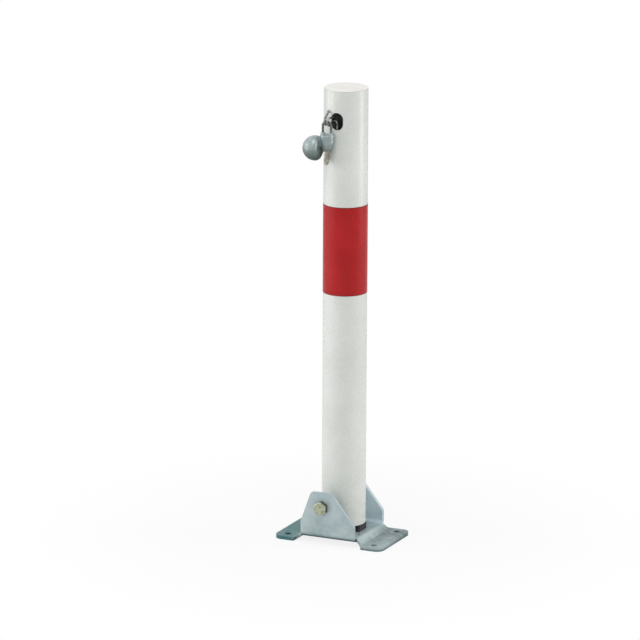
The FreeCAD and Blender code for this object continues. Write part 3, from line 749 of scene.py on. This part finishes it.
def make_staple_beads():
    """Small lumpy beads round the staple's two feet."""
    bead_r = 0.75 * MM
    path_r = staple_r + 0.35 * MM
    steps = 60
    beads = bmesh.new()
    for foot_z in (staple_low.z + staple_r, staple_high.z - staple_r):
        points = []
        swell = []
        for step in range(steps):
            angle = 2 * math.pi * step / steps
            x = staple_x + path_r * math.cos(angle)
            y = -math.sqrt(post_r ** 2 - (x - post_x) ** 2) - 0.1 * MM
            points.append(Vector((x, y, foot_z + path_r * math.sin(angle))))
            swell.append(1.0 + 0.14 * math.sin(7 * angle + foot_z / MM) + 0.08 * math.sin(3 * angle))
        ring = bar_mesh("bead_ring", points, bead_r, True, swell)
        beads.from_mesh(ring)
        bpy.data.meshes.remove(ring)
    add_piece("staple_beads", mesh_from("staple_beads", beads), "post", "weld_paint", ["staple_welds"], 180)


def make_bolt_thread():
    """Thread ridges on the end of the pivot bolt behind its nut."""
    pitch = 1.5 * MM
    depth = 0.12 * MM
    bolt_r = 5.0 * MM
    inner_r = bolt_r - 0.6 * MM
    from_y = nut_high.y
    to_y = bolt_high.y - 1.0 * MM
    count = round((to_y - from_y) / (pitch / 2))
    profile = [(inner_r, from_y)]
    for number in range(count + 1):
        ridge = depth if number % 2 else 0.02 * MM
        profile.append((bolt_r + ridge, from_y + (to_y - from_y) * number / count))
    profile += [(inner_r, to_y), (inner_r, from_y)]
    shape = bmesh.new()
    along_bolt = Matrix.Translation((pivot_x, 0, pivot_z)) @ Matrix.Rotation(math.radians(-90), 4, "X")
    lathe(shape, profile, along_bolt, 64)
    add_piece("bolt_thread", mesh_from("bolt_thread", shape), "base", "yellow_zinc")


make_sleeve_bead(-1, "front_sleeve_weld")
make_sleeve_bead(1, "back_sleeve_weld")
make_staple_beads()
make_bolt_thread()


# Floor, camera and light

def make_floor():
    """Pale floor that reads as white to the camera and still shows the soft shadow."""
    shape = bmesh.new()
    bmesh.ops.create_grid(shape, x_segments=1, y_segments=1, size=floor_half_size)
    floor = bpy.data.objects.new("floor", mesh_from("floor", shape))
    bpy.context.scene.collection.objects.link(floor)
    material = bpy.data.materials.new("floor_white")
    material.use_nodes = True
    tree = material.node_tree
    tree.nodes.clear()
    diffuse = tree.nodes.new("ShaderNodeBsdfDiffuse")
    diffuse.inputs["Color"].default_value = (0.92, 0.92, 0.92, 1)
    glow = tree.nodes.new("ShaderNodeEmission")
    glow.inputs["Color"].default_value = (1, 1, 1, 1)
    glow.inputs["Strength"].default_value = white_level
    rays = tree.nodes.new("ShaderNodeLightPath")
    place = tree.nodes.new("ShaderNodeTexCoord")
    distance = tree.nodes.new("ShaderNodeVectorMath")
    distance.operation = "LENGTH"
    lift = tree.nodes.new("ShaderNodeMapRange")
    lift.interpolation_type = "SMOOTHSTEP"
    lift.inputs["From Min"].default_value = floor_fade_start
    lift.inputs["From Max"].default_value = floor_fade_end
    lift.inputs["To Min"].default_value = floor_lift
    tree.links.new(place.outputs["Object"], distance.inputs[0])
    tree.links.new(distance.outputs["Value"], lift.inputs["Value"])
    share = tree.nodes.new("ShaderNodeMath")
    share.operation = "MULTIPLY"
    tree.links.new(lift.outputs["Result"], share.inputs[1])
    mix = tree.nodes.new("ShaderNodeMixShader")
    output = tree.nodes.new("ShaderNodeOutputMaterial")
    tree.links.new(rays.outputs["Is Camera Ray"], share.inputs[0])
    tree.links.new(share.outputs[0], mix.inputs[0])
    tree.links.new(diffuse.outputs[0], mix.inputs[1])
    tree.links.new(glow.outputs[0], mix.inputs[2])
    tree.links.new(mix.outputs[0], output.inputs["Surface"])
    floor.data.materials.append(material)


def make_world():
    """Even white surroundings: full white to the camera and in reflections, softer as light."""
    world = bpy.data.worlds.new("studio")
    bpy.context.scene.world = world
    world.use_nodes = True
    tree = world.node_tree
    rays = tree.nodes.new("ShaderNodeLightPath")
    seen = tree.nodes.new("ShaderNodeMath")
    seen.operation = "MAXIMUM"
    through = tree.nodes.new("ShaderNodeMath")
    through.operation = "MAXIMUM"
    level = tree.nodes.new("ShaderNodeMapRange")
    level.inputs["To Min"].default_value = world_level
    level.inputs["To Max"].default_value = white_level
    background = tree.nodes["Background"]
    background.inputs["Color"].default_value = (1, 1, 1, 1)
    tree.links.new(rays.outputs["Is Camera Ray"], seen.inputs[0])
    tree.links.new(rays.outputs["Is Glossy Ray"], seen.inputs[1])
    tree.links.new(seen.outputs[0], through.inputs[0])
    tree.links.new(rays.outputs["Is Transmission Ray"], through.inputs[1])
    tree.links.new(through.outputs[0], level.inputs["Value"])
    tree.links.new(level.outputs["Result"], background.inputs["Strength"])


def direction(turn_deg, rise_deg):
    """From the object towards a viewer at that turn and rise."""
    turn = math.radians(turn_deg)
    rise = math.radians(rise_deg)
    return Vector((math.sin(turn) * math.cos(rise), -math.cos(turn) * math.cos(rise), math.sin(rise)))


def add_lamp(name, side_deg, rise_deg, distance, width, height, power, colour=(1, 1, 1)):
    """Soft rectangular lamp, placed to one side of the camera's own direction."""
    lamp = bpy.data.lights.new(name, "AREA")
    lamp.shape = "RECTANGLE"
    lamp.size = width
    lamp.size_y = height
    lamp.energy = power
    lamp.color = colour
    holder = bpy.data.objects.new(name, lamp)
    bpy.context.scene.collection.objects.link(holder)
    toward = direction(view_turn_deg + side_deg, rise_deg)
    holder.location = Vector((0, 0, aim_height)) + toward * distance
    holder.rotation_mode = "QUATERNION"
    holder.rotation_quaternion = (-toward).to_track_quat("-Z", "Y")


def make_camera():
    camera = bpy.data.objects.new("camera", bpy.data.cameras.new("camera"))
    bpy.context.scene.collection.objects.link(camera)
    camera.data.sensor_width = 36.0
    camera.data.lens = camera_lens_mm
    camera.data.clip_end = 60.0
    back = direction(view_turn_deg, view_rise_deg)
    look = (-back).to_track_quat("-Z", "Y")
    right = look @ Vector((1, 0, 0))
    up = look @ Vector((0, 1, 0))
    aim = Vector((0, 0, aim_height)) - right * aim_left - up * aim_below
    camera.location = aim + back * camera_distance
    roll = Matrix.Rotation(math.radians(view_roll_deg), 4, "Z").to_quaternion()
    camera.rotation_mode = "QUATERNION"
    camera.rotation_quaternion = look @ roll
    bpy.context.scene.camera = camera


make_floor()
make_world()
make_camera()
add_lamp("strip_left", -74, 6, 2.2, 0.10, 2.0, 8)
add_lamp("soft_left", -98, 10, 2.2, 1.0, 2.0, 13, (1.0, 0.99, 0.97))
add_lamp("soft_right", 88, 10, 2.2, 1.0, 2.0, 18, (1.0, 0.985, 0.96))
add_lamp("soft_top", -12, 66, 2.4, 1.6, 1.6, 18)
bpy.context.scene.view_settings.view_transform = "Standard"
